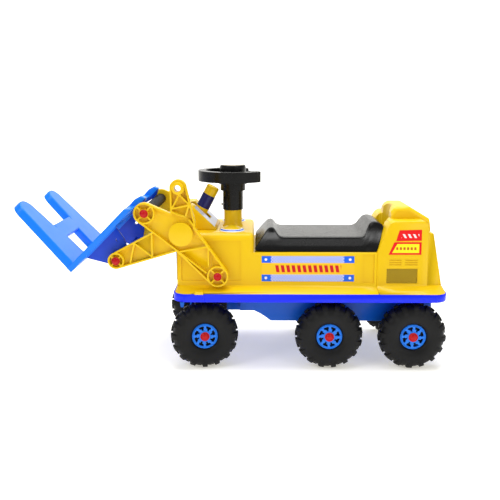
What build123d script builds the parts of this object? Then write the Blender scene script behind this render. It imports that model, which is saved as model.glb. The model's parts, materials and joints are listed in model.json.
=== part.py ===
from build123d import *
import os
from math import atan2, cos, degrees, hypot, radians, sin, tan

# Ride-on construction truck with a tilting fork. Millimetres, +Z up, -X is the front, the ground is Z = 0.
# Lengths along X are first laid out from the steering column's side of the truck, and every piece is moved
# at the end so that the origin is under the middle of the whole truck.

# ---- Driving dimensions -------------------------------------------------------------------------------
wheel_r = 63.0              # tread radius, and so the height of the axles
tyre_width = 44.0
track_outer = 254.0         # over the outer faces of a pair of tyres
hub_r = 24.5
axle_r = 4.0                # steel rods: axles, lift shaft and cross rods
kingpin_x = -110.0
middle_axle_x = 134.5
rear_axle_x = 289.0
column_x = -47.0
steer_at_rest = 6.7         # degrees the front axle stands turned
wheel_offset = 10.0         # degrees the steering wheel sits beyond the axle on its shaft

rim_front_x = -154.0        # blue rim
rim_rear_x = 349.0
rim_half = track_outer / 2 + 3.0
rim_bottom = 131.0
rim_top = 146.0
rim_corner = 26.0
tub_front_x = -32.0
tub_step = ((-5.0, 100.0), (7.0, 94.0), (18.5, 86.3), (27.0, 80.0))    # X and Z down to the tub's floor
nose_x = -58.0              # scoop in front of the tub, round the steering arm
nose_half = 53.0
nose_bottom = 94.5
tub_rear_x = 331.0
tub_half = 76.0
tub_bottom = 80.0
tub_nose_bottom = 100.0
wall = 3.0                  # moulded walls

body_front_x = -148.0
body_rear_x = 344.0
skirt_top = 155.0
side_half = 98.0            # half the body's width at the top of the skirt
side_lean = 5.0 / 61.0      # how far each side leans in for each millimetre of height
deck_z = 216.0              # under the seat
hood_top = 252.0
hood_rear_x = -6.0
bin_front_x = 22.0          # storage bin under the seat
bin_rear_x = 192.0
bin_half = 60.0
column_r = 17.5
column_top = 284.0
sleeve_r = 19.7
sleeve_top = 335.0
ring_top = 361.0            # steering wheel
ring_depth = 20.0
ring_r = 67.0
pod_r = 25.0
pod_top = 371.0
shaft_r = 6.0

housing_front_x = 222.0     # rear housing
housing_rear_x = 316.0
housing_top = 274.0
hump_top = 296.0
tier_top = 251.0

seat_top = 242.0
seat_pommel = 258.0
seat_bump = 268.0
seat_front_x = -3.0
seat_half_base = 88.0
seat_half_top = 71.0

lift_pivot = (-71.6, 176.0)     # X and Z of the pins and bosses in the loader arms
upper_pin = (-203.0, 292.0)
fork_pin = (-256.5, 205.0)
disc_at = (-137.7, 254.0)
tower_at = (-141.0, 338.0)
arm_inner = 104.0               # from the middle of the truck to each arm plate
arm_thick = 13.0
arm_web = 4.0
rib = 3.0

fork_corner = (-332.0, 204.6)   # inner corner of the L of the fork
tine_lean = 47.0                # degrees the tines stand above level
plate_lean = 45.3               # degrees the back plate stands above level
tine_length = 146.0
tine_thick = 15.0
plate_height = 137.0        # along its front face
plate_skin = 4.0
plate_depth = 10.0
plate_half = 130.0
pad_rise = 0.2              # raised face of each tine
pad_inset = 5.0
pad_from = 14.0
tine_tip_r = 24.0
tine_tip_y = 88.0
window_half = 38.0
bar_from = 46.0
bar_to = 78.0
lug_inner = 94.0
lug_outer = 101.0
lug_hole_r = 3.0
hook_outer = 91.0
hook_width = 18.0

running = 0.05              # radial clearance of anything that turns
gap = 0.5                   # between faces that move past each other
label_thick = 0.4

lever_pivot = (-118.0, 266.0)
lever_top = (-84.5, 329.0)
lever_r = 12.5

steer_arm = 26.0            # radius of both steering arms

nodes = {}


# ---- Shared shapes ------------------------------------------------------------------------------------
def rod_y(x, z, r, y0, y1):
    """A round bar across the truck, between two distances from its middle."""
    return Pos(x, y0, z) * Rot(-90, 0, 0) * Cylinder(r, y1 - y0, align=(Align.CENTER, Align.CENTER, Align.MIN))


def rod_z(x, y, r, z0, z1):
    """An upright round bar."""
    return Pos(x, y, z0) * Cylinder(r, z1 - z0, align=(Align.CENTER, Align.CENTER, Align.MIN))


def block(x0, x1, y0, y1, z0, z1):
    return Pos(x0, y0, z0) * Box(x1 - x0, y1 - y0, z1 - z0, align=(Align.MIN, Align.MIN, Align.MIN))


def side_plate(points, y0, y1):
    """A flat outline in X and Z, given thickness across the truck."""
    face = make_face(Polyline([(x, y0, z) for x, z in points], close=True))
    return extrude(face, amount=y1 - y0, dir=(0, 1, 0))


def sketch_plate(sketch, y0, y1):
    """A sketch drawn with X across the page and Y up it, stood up along the truck."""
    return extrude(Plane((0, y0, 0), x_dir=(1, 0, 0), z_dir=(0, -1, 0)) * sketch, amount=-(y1 - y0))


def mirrored(solid):
    return mirror(solid, about=Plane.XZ)


def half_at(z, inset=0.0):
    """Half the body's width at a height."""
    return side_half - inset - (z - skirt_top) * side_lean


def leaning_block(x0, x1, z0, z1, inset=0.0):
    """A block of the body whose two sides lean in towards the top."""
    low, high = half_at(z0, inset), half_at(z1, inset)
    face = make_face(Polyline([(x0, -low, z0), (x0, low, z0), (x0, high, z1), (x0, -high, z1)], close=True))
    return extrude(face, amount=x1 - x0, dir=(1, 0, 0))


def ring_link(a, ra, b, rb):
    """The outline of two round bosses and the straight edges that join them."""
    run = hypot(b[0] - a[0], b[1] - a[1])
    along = atan2(b[1] - a[1], b[0] - a[0])
    spread = radians(90) - atan2((rb - ra) / run, (1 - ((rb - ra) / run) ** 2) ** 0.5)
    spread = radians(180) - spread
    corners = []
    for centre, r, side in ((a, ra, 1), (b, rb, 1), (b, rb, -1), (a, ra, -1)):
        turn = along + side * spread
        corners.append((centre[0] + r * cos(turn), centre[1] + r * sin(turn)))
    web = make_face(Polyline([(x, y, 0) for x, y in corners], close=True))
    return Sketch() + Pos(*a) * Circle(ra) + Pos(*b) * Circle(rb) + web


def strip(a, b, width):
    """A straight rib between two points, as a flat outline."""
    run = hypot(b[0] - a[0], b[1] - a[1])
    middle = ((a[0] + b[0]) / 2, (a[1] + b[1]) / 2)
    return Pos(*middle) * Rot(0, 0, degrees(atan2(b[1] - a[1], b[0] - a[0]))) * Rectangle(run, width)


def dome_cap(y_face, height, r, bore_r, bore_depth):
    """A push-on cap whose flat side is at y_face, domed towards the outside."""
    crown = (r * r + height * height) / (2 * height)
    cap = Cylinder(r, height, align=(Align.CENTER, Align.CENTER, Align.MIN))
    cap = cap & Pos(0, 0, height - crown) * Sphere(crown)
    cap += Cylinder(r, height * 0.35, align=(Align.CENTER, Align.CENTER, Align.MIN))
    cap -= Cylinder(bore_r, bore_depth, align=(Align.CENTER, Align.CENTER, Align.MIN))
    return Pos(0, -y_face, 0) * Rot(90, 0, 0) * cap


def pair(solid):
    """A piece on the left and its mirror image on the right."""
    return [solid, mirrored(solid)]


# ---- Wheels -------------------------------------------------------------------------------------------
outer_face = track_outer / 2
inner_face = outer_face - tyre_width
lug_depth = 4.0
lugs = 18
hub_outer = outer_face - 7.0
collar_inner = tub_half + 1.0
collar_r = 9.0
cap_r = 8.5
cap_height = 6.0
axle_end = hub_outer + gap + 4.0


def tyre():
    """One left-hand tyre, standing about its own axle line, with its outer face towards -Y."""
    shoulder = 9.0
    side_r = wheel_r - shoulder
    half = tyre_width / 2
    profile = make_face([
        Polyline((hub_r, 0, -half + 7), (hub_r, 0, half - 7)),
        Line((hub_r, 0, half - 7), (hub_r + 6, 0, half - 1)),
        Line((hub_r + 6, 0, half - 1), (side_r - 6, 0, half)),
        ThreePointArc((side_r - 6, 0, half), (wheel_r - 3.2, 0, half - 5), (wheel_r, 0, half - 14)),
        Line((wheel_r, 0, half - 14), (wheel_r, 0, -half + 14)),
        ThreePointArc((wheel_r, 0, -half + 14), (wheel_r - 3.2, 0, -half + 5), (side_r - 6, 0, -half)),
        Line((side_r - 6, 0, -half), (hub_r + 6, 0, -half + 1)),
        Line((hub_r + 6, 0, -half + 1), (hub_r, 0, -half + 7)),
    ])
    room = make_face(Polyline([(hub_r - 1, 0, -half + 11), (hub_r + 3, 0, -half + 11), (hub_r + 9, 0, -half + 5),
                               (side_r - 4, 0, -half + 5), (side_r, 0, -half + 9), (side_r, 0, half - 9),
                               (side_r - 4, 0, half - 5), (hub_r + 9, 0, half - 5), (hub_r + 3, 0, half - 11),
                               (hub_r - 1, 0, half - 11)], close=True))
    carcass = revolve(profile, Axis.Z) - revolve(room, Axis.Z)
    groove = Pos(wheel_r, 0, half - 5.5) * Box(2 * lug_depth, 7.0, 17.0)
    groove_low = Pos(wheel_r, 0, -half + 5.5) * Box(2 * lug_depth, 7.0, 17.0)
    cuts = []
    for i in range(lugs):
        cuts.append(Rot(0, 0, 360 / lugs * i) * groove)
        cuts.append(Rot(0, 0, 360 / lugs * (i + 0.5)) * groove_low)
    carcass = carcass - cuts
    return Rot(90, 0, 0) * carcass


def hub():
    """One left-hand hub, about its own axle line, with its outer face towards -Y and its middle at Y = 0."""
    middle = (outer_face + inner_face) / 2
    face_z = hub_outer - middle
    barrel = Pos(0, 0, -tyre_width / 2 + 7) * Cylinder(hub_r, face_z + tyre_width / 2 - 7,
                                                       align=(Align.CENTER, Align.CENTER, Align.MIN))
    barrel -= Pos(0, 0, -tyre_width / 2 + 6) * Cylinder(hub_r - 3, face_z + tyre_width / 2 - 10,
                                                        align=(Align.CENTER, Align.CENTER, Align.MIN))
    collar = Pos(0, 0, collar_inner - middle) * Cylinder(collar_r, face_z - collar_inner + middle,
                                                         align=(Align.CENTER, Align.CENTER, Align.MIN))
    part = barrel + collar
    slots = 8
    for i in range(slots):
        slot = Pos(0, 0, face_z) * extrude(Rot(0, 0, 360 / slots * i) * make_face(
            Polyline([(11.5, -0.6, 0), (19.5, -4.8, 0), (19.5, 4.2, 0), (12.0, 2.6, 0)], close=True)), amount=-6)
        part -= slot
    part -= Pos(0, 0, collar_inner - middle - 1) * Cylinder(axle_r + running, face_z - collar_inner + middle + 2,
                                                            align=(Align.CENTER, Align.CENTER, Align.MIN))
    return Rot(90, 0, 0) * part


def wheel_place(x, side, turn=0.0, pivot=0.0):
    """Where a wheel's own middle goes: its axle's X, the side (-1 left, 1 right) and the axle's steering."""
    middle = (outer_face + inner_face) / 2
    upright = Pos(x, 0, wheel_r)
    face = Pos(0, side * middle, 0) * (Rot(0, 0, 0) if side < 0 else Rot(0, 0, 180))
    return upright * Rot(0, 0, turn) * face


tyre_shape = tyre()
hub_shape = hub()
axles = {"front": (kingpin_x, steer_at_rest), "middle": (middle_axle_x, 0.0), "rear": (rear_axle_x, 0.0)}
for name, (x, turn) in axles.items():
    for side_name, side in (("left", -1), ("right", 1)):
        place = wheel_place(x, side, turn)
        nodes[f"tyre_{name}_{side_name}"] = place * tyre_shape
        nodes[f"hub_{name}_{side_name}"] = place * hub_shape
    frame = Pos(x, 0, wheel_r) * Rot(0, 0, turn)
    nodes[f"{name}_axle"] = frame * rod_y(0, 0, axle_r, -axle_end, axle_end)
    cap = dome_cap(hub_outer + gap, cap_height, cap_r, axle_r, 4.0)
    nodes[f"{name}_axle_caps"] = [frame * c for c in pair(cap)]

# ---- Chassis tub --------------------------------------------------------------------------------------
rim_length = rim_rear_x - rim_front_x
rim_middle = (rim_rear_x + rim_front_x) / 2


def rim_plan(inset):
    plan = Pos(rim_middle, 0) * Rectangle(rim_length - 2 * inset, 2 * (rim_half - inset))
    return fillet(plan.vertices(), rim_corner - inset)


def tub_side(inset):
    """Side outline of the tub, wall by wall inside the outer one. The top runs on past the deck."""
    front, rear = tub_front_x + inset, tub_rear_x - inset
    step = [(x + inset / 2, z + inset) for x, z in tub_step]
    return [(front, rim_top + inset), (front, tub_nose_bottom + inset), *step, (rear - 12, tub_bottom + inset),
            (rear, tub_bottom + 18 + inset), (rear, rim_top + inset)]


deck_under = rim_top - wall
tub_room = side_plate(tub_side(wall), -tub_half + wall, tub_half - wall)
kingpin_r = 6.0
screw_r = 2.0
screw_y = 88.0
screw_xs = (body_front_x + 8.0, 60.0, 236.0)
post_r = 6.0
post_top = rim_top + 14.0
tab_x = -105.0
tab_half = 8.0
deck = extrude(Pos(0, 0, rim_bottom) * rim_plan(0), amount=rim_top - rim_bottom)
deck -= extrude(Pos(0, 0, rim_bottom - 1) * rim_plan(wall + 0.5), amount=deck_under - rim_bottom + 1)
deck -= tub_room
deck -= rod_z(kingpin_x, 0, kingpin_r + running, deck_under - 1, rim_top + 1)
deck -= rod_z(column_x, 0, shaft_r + running, deck_under - 1, rim_top + 1)
for x in screw_xs:
    for y in (-screw_y, screw_y):
        deck -= rod_z(x, y, screw_r + running, rim_bottom, rim_top + 1)
rim_swell = block(tab_x - tab_half, tab_x + tab_half, -rim_half - 2.0, -rim_half + 1, rim_bottom + 2, rim_top)
for swell in pair(rim_swell):
    deck += swell
nodes["chassis_rim"] = deck

tub = side_plate(tub_side(0), -tub_half, tub_half) & block(-400, 400, -200, 200, 0, deck_under)
nose = block(nose_x, tub_front_x + 1, -nose_half, nose_half, nose_bottom, deck_under)
nose -= block(nose_x - 1, tub_front_x + 2, -nose_half + wall, nose_half - wall, nose_bottom + wall,
              deck_under + 1)
tub += nose
tub -= tub_room
nodes["chassis_tub"] = tub

# Blocks under the rim: four for the axles, two steering bosses and the two front lugs.
axle_block_half = 12.0
axle_block_inner = 54.0
blocks = []
for x in (middle_axle_x, rear_axle_x):
    for y0 in (-tub_half, axle_block_inner):
        y1 = y0 + tub_half - axle_block_inner
        axle_block = block(x - axle_block_half, x + axle_block_half, y0, y1, wheel_r - 9, tub_bottom)
        blocks.append(axle_block - rod_y(x, wheel_r, axle_r, -tub_half - 1, tub_half + 1))
boss_bottom = 118.0
boss = rod_z(kingpin_x, 0, 14.0, boss_bottom, deck_under)
blocks.append(boss - rod_z(kingpin_x, 0, kingpin_r + running, boss_bottom - 1, deck_under + 1))
shaft_boss_bottom = 129.0
boss = rod_z(column_x, 0, 11.0, shaft_boss_bottom, deck_under)
blocks.append(boss - rod_z(column_x, 0, shaft_r + running, shaft_boss_bottom - 1, deck_under + 1))
front_lug_x = rim_front_x + 18.0
for y0 in (-rim_half, rim_half - wall):
    blocks.append(side_plate([(front_lug_x - 4, rim_bottom), (front_lug_x + 4, rim_bottom),
                              (front_lug_x + 2.5, rim_bottom - 9), (front_lug_x - 2.5, rim_bottom - 9)],
                             y0, y0 + wall))
nodes["chassis_blocks"] = blocks

# ---- Body shell: hood, deck over the bin, sides and the skirt that sits on the rim ---------------------
skirt_half = rim_half - 2.0


def skirt(inset):
    """The shelf all round the foot of the body, wider at the bottom."""
    length = body_rear_x - body_front_x
    middle = (body_rear_x + body_front_x) / 2
    low = Pos(middle, 0, rim_top) * fillet(Rectangle(length + 6 - 2 * inset, 2 * (skirt_half - inset)).vertices(), 22)
    high = Pos(middle, 0, skirt_top) * fillet(Rectangle(length - 2 * inset, 2 * (side_half - inset)).vertices(), 12)
    return loft([low, high])


def skirt_room():
    """The room under the shelf, so that its wall is thin too."""
    length = body_rear_x - body_front_x
    middle = (body_rear_x + body_front_x) / 2
    low = Rectangle(length - 4 * wall, 2 * (skirt_half - 2 * wall))
    high = Rectangle(length - 4 * wall, 2 * (side_half - 2 * wall))
    return loft([Pos(middle, 0, rim_top) * low, Pos(middle, 0, skirt_top - wall) * high])


shell_split_x = housing_front_x
body = leaning_block(body_front_x, shell_split_x, skirt_top - 1, deck_z)
hood = leaning_block(body_front_x, hood_rear_x, skirt_top - 1, hood_top)
long_edges = hood.edges().filter_by(Axis.X).sort_by(Axis.Z)[-2:]
hood = fillet(long_edges, 13.0)
cross_edges = hood.edges().filter_by(Axis.Y).filter_by(lambda e: abs(e.center().Z - hood_top) < 0.1)
hood = fillet(cross_edges, 8.0)
full_skirt = skirt(0)
body = body + hood + (full_skirt & block(-500, shell_split_x, -200, 200, 0, 200))

panel_front, panel_rear, panel_low, panel_high, panel_deep = -140.0, -30.0, 164.0, 237.0, 2.0
for x0, x1, z0, z1, deep in ((panel_front, panel_rear, panel_low, panel_high, panel_deep),
                             (196.0, 217.0, 160.0, deck_z - 3, 2.0)):
    band = block(x0, x1, -200, 200, z0, z1)
    body -= band - leaning_block(x0 - 1, x1 + 1, z0 - 1, z1 + 1, inset=deep)

hollow = leaning_block(body_front_x + wall, shell_split_x - wall, rim_top - 1, deck_z - wall, inset=wall + 2.0)
hollow += leaning_block(body_front_x + wall, hood_rear_x - wall, rim_top - 1, hood_top - wall - 1, inset=wall + 9.0)
body -= hollow + (skirt_room() & block(-500, shell_split_x - wall, -200, 200, 0, 200))
body -= block(bin_front_x, bin_rear_x, -bin_half, bin_half, deck_z - wall - 1, deck_z + 1)

base_r = column_r + 3.0
column = rod_z(column_x, 0, column_r, hood_top - wall - 1, column_top)
column += Pos(column_x, 0, hood_top - 1) * Cone(base_r, column_r, 7, align=(Align.CENTER, Align.CENTER, Align.MIN))
body += column
column_bore = shaft_r + 1.5
body -= rod_z(column_x, 0, column_bore, hood_top - wall - 3, column_top + 1)
bush_r = 10.0
bush_depth = 14.0
body -= rod_z(column_x, 0, bush_r, column_top - bush_depth, column_top + 1)

lift_boss_r = 13.0
boss_face = arm_inner - gap
for boss in pair(rod_y(lift_pivot[0], lift_pivot[1], lift_boss_r, -boss_face, -side_half + wall + 12)):
    body += boss
body -= rod_y(lift_pivot[0], lift_pivot[1], axle_r + running, -arm_inner, arm_inner)

tab = block(tab_x - tab_half, tab_x + tab_half, -rim_half - 2.0, -side_half - 12, rim_top, rim_top + 5)
tab = fillet(tab.edges().filter_by(Axis.Y).filter_by(lambda e: e.center().Z > rim_top + 1), 3.0)
for t in pair(tab):
    body += t

dome_r = 24.0
dome_y = 58.0
dome_height = 10.0
dome_sphere = (dome_r ** 2 + dome_height ** 2) / (2 * dome_height)
dome = Pos(column_x, -dome_y, hood_top + dome_height - dome_sphere) * Sphere(dome_sphere)
dome &= rod_z(column_x, -dome_y, dome_r, hood_top - 3, hood_top + dome_height + 1)
for d in pair(dome):
    body += d & block(-500, 500, -half_at(hood_top) + 5, half_at(hood_top) - 5, 0, 400)
for x in screw_xs[:2]:
    for y in (-screw_y, screw_y):
        body += rod_z(x, y, post_r, rim_top, post_top)
        body -= rod_z(x, y, screw_r, rim_top - 1, post_top - 3)
nodes["body_shell"] = body

# ---- Bin liner under the seat --------------------------------------------------------------------------
liner_floor = tub_bottom + wall + 6.0
lip = 7.0
liner = block(bin_front_x + gap, bin_rear_x - gap, -bin_half + gap, bin_half - gap, liner_floor, deck_z)
liner += block(bin_front_x - lip, bin_rear_x + lip, -bin_half - lip, bin_half + lip, deck_z, deck_z + 1.5)
liner -= block(bin_front_x + gap + 2, bin_rear_x - gap - 2, -bin_half + gap + 2, bin_half - gap - 2,
               liner_floor + 2, deck_z + 2)
nodes["bin_liner"] = liner

# ---- Rear housing with the seat back -------------------------------------------------------------------
housing_side = [(housing_front_x, skirt_top - 1), (housing_front_x, deck_z), (housing_front_x + 19, 262),
                (housing_front_x + 24, 270), (housing_front_x + 31, housing_top), (housing_rear_x - 8, housing_top),
                (housing_rear_x - 1.5, housing_top - 4), (housing_rear_x, housing_top - 12),
                (housing_rear_x, skirt_top - 1)]
tier_side = [(housing_rear_x - 5, skirt_top - 1), (housing_rear_x - 5, tier_top + 3), (housing_rear_x + 11, tier_top),
             (body_rear_x, skirt_top - 1)]
hump_side = [(housing_front_x + 30, housing_top - 12), (housing_front_x + 31, housing_top + 12),
             (housing_front_x + 35, hump_top - 4), (housing_front_x + 42, hump_top), (288, hump_top),
             (housing_rear_x + 9, housing_top), (housing_rear_x + 12, tier_top - 4), (housing_rear_x - 6, tier_top - 8)]
hump_half = 54.0


def housing_solid(inset):
    """The housing's outer form, or the form of the room inside its walls."""
    outer = side_plate(housing_side, -150, 150) & leaning_block(150, 400, skirt_top - 2, 330, inset=inset)
    tier = side_plate(tier_side, -150, 150) & leaning_block(150, 400, skirt_top - 2, 330, inset=inset + 9.0)
    return outer + tier


housing = housing_solid(0)
hump = side_plate(hump_side, -hump_half, hump_half)
hump = fillet(hump.edges().filter_by(lambda e: e.center().Z > housing_top + 2 and abs(e.center().Y) > hump_half - 1), 9)
housing += hump
scoop_r = 56.0
scoop_x = housing_front_x - 16.0
scoop_low = 240.0
housing -= rod_z(scoop_x, 0, scoop_r, scoop_low, 330)
housing += full_skirt & block(shell_split_x, 500, -200, 200, 0, 200)
room_side = [(housing_front_x + wall, rim_top - 1), (housing_front_x + wall, deck_z), (housing_front_x + 22, 259),
             (housing_front_x + 34, housing_top - wall), (housing_rear_x - 10, housing_top - wall),
             (housing_rear_x - 4, housing_top - 14), (housing_rear_x - 4, rim_top - 1)]
room = side_plate(room_side, -150, 150) & leaning_block(150, 400, rim_top - 2, 330, inset=wall + 2)
hump_room = [(housing_front_x + 35, housing_top - 14), (housing_front_x + 35, housing_top + 11),
             (housing_front_x + 43, hump_top - wall - 1), (286, hump_top - wall - 1), (housing_rear_x + 4, housing_top),
             (housing_rear_x + 6, tier_top - 4), (housing_rear_x - 6, tier_top - 8)]
room += side_plate(hump_room, -hump_half + wall + 1, hump_half - wall - 1)
room -= rod_z(scoop_x, 0, scoop_r + wall, scoop_low - wall, 330)
room += block(housing_rear_x - 10, housing_rear_x + 6, -70, 70, rim_top - 1, tier_top - 8)
housing -= room + (skirt_room() & block(shell_split_x + wall, 500, -200, 200, 0, 200))
mesh_x0, mesh_x1, mesh_z0, mesh_z1 = 240.0, 297.0, 159.5, 187.0
mesh_deep = 2.0
band = block(mesh_x0, mesh_x1, -200, 200, mesh_z0, mesh_z1)
housing -= band - leaning_block(mesh_x0 - 1, mesh_x1 + 1, mesh_z0 - 1, mesh_z1 + 1, inset=mesh_deep)
for x0, x1 in ((244.5, 267.0), (274.0, 297.0)):
    for i in range(3):
        z = 193.5 + 4.2 * i
        band = block(x0, x1, -200, 200, z, z + 1.9)
        housing -= band - leaning_block(x0 - 1, x1 + 1, z - 1, z + 3, inset=1.6)
for x in screw_xs[2:]:
    for y in (-screw_y, screw_y):
        housing += rod_z(x, y, post_r, rim_top, post_top)
        housing -= rod_z(x, y, screw_r, rim_top - 1, post_top - 3)
nodes["rear_housing"] = housing
mesh_band = block(mesh_x0 + 0.3, mesh_x1 - 0.3, -200, 200, mesh_z0 + 0.3, mesh_z1 - 0.3)
mesh_sheet = (leaning_block(mesh_x0, mesh_x1, mesh_z0, mesh_z1, inset=mesh_deep - 1.0)
              - leaning_block(mesh_x0 - 1, mesh_x1 + 1, mesh_z0 - 1, mesh_z1 + 1, inset=mesh_deep)) & mesh_band
nodes["mesh_grilles"] = list(mesh_sheet.solids())

# ---- Front grille --------------------------------------------------------------------------------------
grille_half = 78.0
grille = block(body_front_x - 3.0, body_front_x, -grille_half, grille_half, 161, 236)
for i in range(6):
    z = 170 + 10.5 * i
    grille -= block(body_front_x - 4.0, body_front_x - 1.5, -grille_half + 10, grille_half - 10, z, z + 5)
nodes["front_grille"] = grille

# ---- Dash console and its lever ------------------------------------------------------------------------
console_half = 55.0
console_front_x = -141.0
console_ridge = (-123.0, 298.0)
console_foot_x = -75.0
console_side = [(console_front_x, hood_top), (console_front_x + 3, console_ridge[1]), console_ridge,
                (console_foot_x, hood_top)]
console_in = [(console_front_x + wall, hood_top - 1), (console_front_x + 3 + wall, console_ridge[1] - wall),
              (console_ridge[0] - 1, console_ridge[1] - wall), (console_foot_x - 5, hood_top - 1)]
console = side_plate(console_side, -console_half, console_half)
console -= side_plate(console_in, -console_half + wall, console_half - wall)
slope = atan2(console_ridge[1] - hood_top, console_foot_x - console_ridge[0])
cheek = 16.0
pin_r = 2.5
lever_lean = atan2(lever_top[0] - lever_pivot[0], lever_top[1] - lever_pivot[1])
for y0 in (-cheek - 3, cheek):
    web = side_plate([(console_front_x + 2, hood_top), (console_front_x + 5, console_ridge[1] - 1),
                      (console_ridge[0], console_ridge[1] - 1), (console_ridge[0] + 14, hood_top + 20),
                      (console_ridge[0] + 20, hood_top)], y0, y0 + 3)
    console += web
slot_from, slot_to = -4.0, 44.0
slot_plane = Plane((console_ridge[0], 0, console_ridge[1]), x_dir=(cos(slope), 0, -sin(slope)),
                   z_dir=(sin(slope), 0, cos(slope)))
slot = slot_plane * Box(slot_to - slot_from, 2 * (lever_r + 1.5), 30,
                        align=(Align.MIN, Align.CENTER, Align.CENTER))
slot = Pos(slot_from * cos(slope), 0, -slot_from * sin(slope)) * slot
console -= slot & block(console_ridge[0] - 30, console_foot_x, -60, 60, hood_top + 8, 340)
console -= rod_y(lever_pivot[0], lever_pivot[1], pin_r, -cheek - 3, cheek + 3)
nodes["dash_console"] = console
nodes["lever_pin"] = rod_y(lever_pivot[0], lever_pivot[1], pin_r, -cheek - 3, cheek + 3)
lever_length = hypot(lever_top[0] - lever_pivot[0], lever_top[1] - lever_pivot[1])
lever = Cylinder(lever_r, lever_length, align=(Align.CENTER, Align.CENTER, Align.MIN))
lever = fillet(lever.faces().sort_by(Axis.Z)[-1].edges(), 3.0)
lever += Sphere(lever_r)
lever = Pos(lever_pivot[0], 0, lever_pivot[1]) * Rot(0, degrees(lever_lean), 0) * lever
lever -= rod_y(lever_pivot[0], lever_pivot[1], pin_r + running, -40, 40)
nodes["gear_lever"] = lever
sleeve_label = Cylinder(lever_r + label_thick, 27, align=(Align.CENTER, Align.CENTER, Align.MIN))
sleeve_label -= Cylinder(lever_r, 27, align=(Align.CENTER, Align.CENTER, Align.MIN))
on_lever = Pos(lever_pivot[0], 0, lever_pivot[1]) * Rot(0, degrees(lever_lean), 0)
nodes["lever_label"] = on_lever * Pos(0, 0, 26) * sleeve_label

# ---- Steering: wheel, shaft, arms, link, yoke ----------------------------------------------------------
pitman_low, pitman_high = 119.0, 126.0
link_low, link_high = 112.6, 118.4
yoke_arm_low, yoke_arm_high = 105.0, 112.0
yoke_top = boss_bottom - gap
link_pin_r = 3.0
shaft_top = pod_top - 8.0
turned = radians(steer_at_rest)
pitman_end = (column_x - steer_arm * sin(turned), steer_arm * cos(turned))
yoke_end = (kingpin_x - steer_arm * sin(turned), steer_arm * cos(turned))
nodes["steering_shaft"] = rod_z(column_x, 0, shaft_r, pitman_low, shaft_top)
arm_plate = extrude(ring_link((column_x, 0), 11.0, pitman_end, 6.0), amount=pitman_high - pitman_low)
arm_plate = Pos(0, 0, pitman_low) * arm_plate
arm_plate -= rod_z(column_x, 0, shaft_r, pitman_low - 1, pitman_high + 1)
arm_plate -= rod_z(pitman_end[0], pitman_end[1], link_pin_r, pitman_low - 1, pitman_high + 1)
nodes["pitman_arm"] = arm_plate
nodes["pitman_pin"] = rod_z(pitman_end[0], pitman_end[1], link_pin_r, link_low - 1.5, pitman_high)
link = extrude(ring_link(yoke_end, 6.0, pitman_end, 6.0), amount=link_high - link_low)
link = Pos(0, 0, link_low) * link
for end in (yoke_end, pitman_end):
    link -= rod_z(end[0], end[1], link_pin_r + running, link_low - 1, link_high + 1)
nodes["drag_link"] = link
yoke = block(-13, 13, -tub_half, tub_half, wheel_r - 11, wheel_r + 11)
yoke += block(-15, 15, -24, 24, wheel_r, yoke_arm_low)
yoke += rod_z(0, 0, 14.0, wheel_r, yoke_top)
yoke = fillet(yoke.edges().filter_by(Axis.Y).filter_by(lambda e: e.center().Z < wheel_r - 10), 4.0)
yoke = Pos(kingpin_x, 0, 0) * Rot(0, 0, steer_at_rest) * yoke
yoke += Pos(0, 0, yoke_arm_low) * extrude(ring_link((kingpin_x, 0), 12.0, yoke_end, 7.0),
                                          amount=yoke_arm_high - yoke_arm_low)
yoke -= Pos(kingpin_x, 0, wheel_r) * Rot(0, 0, steer_at_rest) * rod_y(0, 0, axle_r, -tub_half - 1, tub_half + 1)
kingpin_bottom = wheel_r + 16.0
yoke -= rod_z(kingpin_x, 0, kingpin_r, kingpin_bottom, yoke_top + 1)
yoke -= rod_z(yoke_end[0], yoke_end[1], link_pin_r, yoke_arm_low - 1, yoke_arm_high + 1)
nodes["front_yoke"] = yoke
nodes["yoke_pin"] = rod_z(yoke_end[0], yoke_end[1], link_pin_r, yoke_arm_low, link_high + 0.3)
nodes["kingpin"] = rod_z(kingpin_x, 0, kingpin_r, kingpin_bottom, rim_top + 9)
clip = rod_z(kingpin_x, 0, 11.0, rim_top + gap, rim_top + gap + 3)
clip -= rod_z(kingpin_x, 0, kingpin_r, rim_top, rim_top + 9)
nodes["kingpin_clip"] = clip
bush = rod_z(column_x, 0, bush_r, column_top - bush_depth, column_top)
bush -= rod_z(column_x, 0, shaft_r + running, column_top - bush_depth - 1, column_top + 3)
nodes["column_bush"] = bush

sleeve_bottom = column_top + gap
ring_bottom = ring_top - ring_depth
wheel_hub = rod_z(0, 0, sleeve_r, sleeve_bottom, sleeve_top)
wheel_hub += rod_z(0, 0, sleeve_r + 4.5, sleeve_top - 13, sleeve_top + 1)
wheel_hub += rod_z(0, 0, pod_r + 3, sleeve_top, ring_top - 5)
grip_x0, grip_x1 = 24.0, 40.0
ring_section = 15.0
ring = rod_z(0, 0, ring_r, ring_bottom, ring_top)
ring -= rod_z(0, 0, ring_r - ring_section, ring_bottom - 1, ring_top + 1)
ring -= block(grip_x1, ring_r + 1, -ring_r, ring_r, ring_bottom - 1, ring_top + 1)
spoke_low, spoke_high = ring_bottom + 3, ring_top - 5
for side in (-1, 1):
    ring += block(-12, 26, min(0, side * (ring_r - 8)), max(0, side * (ring_r - 8)), spoke_low, spoke_high)
for side in (-1, 1):
    y_far = side * (ring_r - 14)
    ring += block(grip_x0, grip_x1, min(side * 26, y_far), max(side * 26, y_far), ring_bottom, ring_top)
wheel_piece = wheel_hub + ring
wheel_piece -= rod_z(0, 0, shaft_r, sleeve_bottom - 1, ring_top + 1)
set_screw_z = 295.0
set_screw = Pos(0, 0, set_screw_z) * Rot(0, -90, 0) * Cylinder(
    2.5, sleeve_r + 3.5 - shaft_r, align=(Align.CENTER, Align.CENTER, Align.MIN))
set_screw = Pos(-shaft_r, 0, 0) * set_screw
wheel_piece -= set_screw
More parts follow.
